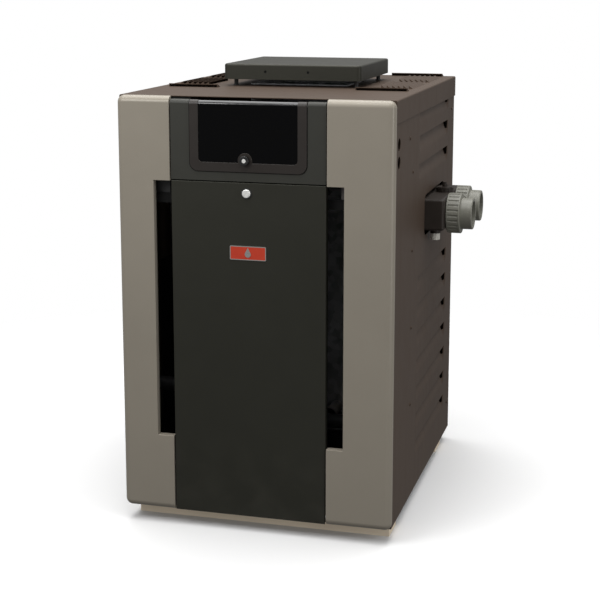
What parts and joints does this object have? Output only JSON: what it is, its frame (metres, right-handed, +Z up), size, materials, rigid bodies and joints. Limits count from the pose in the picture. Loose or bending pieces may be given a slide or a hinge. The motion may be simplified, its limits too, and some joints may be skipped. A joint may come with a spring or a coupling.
{
  "type": "gas pool heater",
  "caption": "Floor-standing gas pool heater in a louvred sheet-metal cabinet with a hinged control window, hook-on door, finned-tube exchanger, burner tray and water unions.",
  "frame": {"origin": "under the middle of the whole heater's bounding box, on the floor", "axes": "+Z up, +X to the side with the water unions, +Y from the door to the back"},
  "size_m": [0.623, 0.632, 0.826],
  "materials": {
    "post_paint": "satin taupe powder coat",
    "front_paint": "satin charcoal paint",
    "cabinet_paint": "satin bronze-brown paint",
    "fascia_plastic": "fine-grained charcoal plastic",
    "lid_plastic": "satin dark brown plastic",
    "smoked_lens": "polished smoked acrylic",
    "latch_plastic": "knurled black plastic",
    "bright_steel": "bright zinc-plated steel",
    "badge_metal": "brushed aluminium plate",
    "galvanised": "galvanised sheet",
    "inner_paint": "flat black heat-resistant paint",
    "rail_paint": "tan primer",
    "dark_cast": "coated dark casting",
    "grey_pvc": "grey moulded PVC",
    "white_plastic": "off-white moulded plastic",
    "rubber_seal": "black rubber",
    "copper": "copper tube and fins",
    "refractory": "fibrous refractory board",
    "burner_steel": "heat-tinted stainless steel",
    "brass": "machined brass",
    "gas_pipe": "black iron pipe",
    "cast_aluminium": "die-cast aluminium",
    "board_green": "green circuit laminate",
    "keypad_film": "printed membrane film",
    "key_rubber": "grey keypad rubber",
    "display_glass": "liquid-crystal display glass",
    "winding": "laminated transformer steel",
    "black_plastic": "moulded black plastic",
    "wire_black": "black cable jacket"
  },
  "bodies": {
    "cabinet": {"base_pan": "galvanised", "burner_orifices": "brass", "burner_tray": "galvanised", "burner_tubes": "burner_steel", "cabinet_screws": "cabinet_paint", "chamber_wrap": "galvanised", "circuit_board": "board_green", "control_fascia": "fascia_plastic", "control_tray": "inner_paint", "cross_rail": "inner_paint", "display_module": "display_glass", "door_hooks": "galvanised", "finned_tubes": "copper", "flue_collector": "galvanised", "front_post_left": "post_paint", "front_post_right": "post_paint", "gas_inlet_pipe": "gas_pipe", "gas_manifold": "gas_pipe", "gas_valve": "cast_aluminium", "governor_cap": "dark_cast", "header_bolts": "bright_steel", "high_limit_switches": "black_plastic", "ignition_cable": "wire_black", "ignition_module": "black_plastic", "keypad_plate": "keypad_film", "pilot_burner": "burner_steel", "rail_front": "rail_paint", "rail_rear": "rail_paint", "rear_panel": "cabinet_paint", "refractory_panels": "refractory", "return_header": "dark_cast", "side_panel_left": "cabinet_paint", "side_panel_right": "cabinet_paint", "tailpiece_front": "grey_pvc", "tailpiece_rear": "grey_pvc", "top_panel": "cabinet_paint", "transformer": "winding", "tube_sheets": "burner_steel", "vent_cap": "front_paint", "vent_cap_frame": "black_plastic", "water_gaskets": "rubber_seal", "water_header": "dark_cast", "window_hinge_pins": "bright_steel", "wiring_harness": "wire_black"},
    "lid": {"window_frame": "lid_plastic", "window_lens": "smoked_lens"},
    "latch": {"window_latch": "latch_plastic"},
    "door": {"door": "front_paint", "door_stiffeners": "galvanised", "door_stud_cup": "black_plastic", "badge_plate": "badge_metal"},
    "stud": {"door_stud": "bright_steel"},
    "mode_key": {"button_mode": "key_rubber"},
    "down_key": {"button_down": "key_rubber"},
    "up_key": {"button_up": "key_rubber"},
    "set_key": {"button_set": "key_rubber"},
    "gas_knob": {"valve_knob": "black_plastic"},
    "front_union": {"union_nut_front": "grey_pvc"},
    "rear_union": {"union_nut_rear": "grey_pvc"},
    "drain": {"drain_plug": "white_plastic"}
  },
  "joints": [
    {"name": "window_flip", "type": "hinge", "parent": "cabinet", "child": "lid", "pos_m": [-0.03, -0.301, 0.771], "axis": [-1, 0, 0], "range_deg": [0, 110]},
    {"name": "latch_turn", "type": "hinge", "parent": "lid", "child": "latch", "pos_m": [-0.0345, -0.309, 0.676], "axis": [0, 1, 0], "range_deg": [-90, 0]},
    {"name": "door_tilt", "type": "hinge", "parent": "cabinet", "child": "door", "pos_m": [-0.031, -0.3015, 0.0415], "axis": [1, 0, 0], "range_deg": [0, 28]},
    {"name": "stud_turn", "type": "hinge", "parent": "door", "child": "stud", "pos_m": [-0.0325, -0.309, 0.6185], "axis": [0, 1, 0], "range_deg": [-90, 0]},
    {"name": "gas_knob_turn", "type": "hinge", "parent": "cabinet", "child": "gas_knob", "pos_m": [-0.0595, -0.197, 0.254], "axis": [0, 0, 1], "range_deg": [0, 90]},
    {"name": "front_union_turn", "type": "hinge", "parent": "cabinet", "child": "front_union", "pos_m": [0.2635, 0.041, 0.542], "axis": [1, 0, 0], "continuous": true},
    {"name": "rear_union_turn", "type": "hinge", "parent": "cabinet", "child": "rear_union", "pos_m": [0.2635, 0.1426, 0.542], "axis": [1, 0, 0], "continuous": true},
    {"name": "drain_plug_turn", "type": "hinge", "parent": "cabinet", "child": "drain", "pos_m": [0.2405, 0.029, 0.495], "axis": [0, 0, 1], "continuous": true},
    {"name": "mode_press", "type": "slide", "parent": "cabinet", "child": "mode_key", "axis": [0, 1, 0], "range_m": [0, 0.0012], "stiffness_N_per_m": 400, "springref_m": -0.0005},
    {"name": "down_press", "type": "slide", "parent": "cabinet", "child": "down_key", "axis": [0, 1, 0], "range_m": [0, 0.0012], "stiffness_N_per_m": 400, "springref_m": -0.0005},
    {"name": "up_press", "type": "slide", "parent": "cabinet", "child": "up_key", "axis": [0, 1, 0], "range_m": [0, 0.0012], "stiffness_N_per_m": 400, "springref_m": -0.0005},
    {"name": "set_press", "type": "slide", "parent": "cabinet", "child": "set_key", "axis": [0, 1, 0], "range_m": [0, 0.0012], "stiffness_N_per_m": 400, "springref_m": -0.0005}
  ]
}
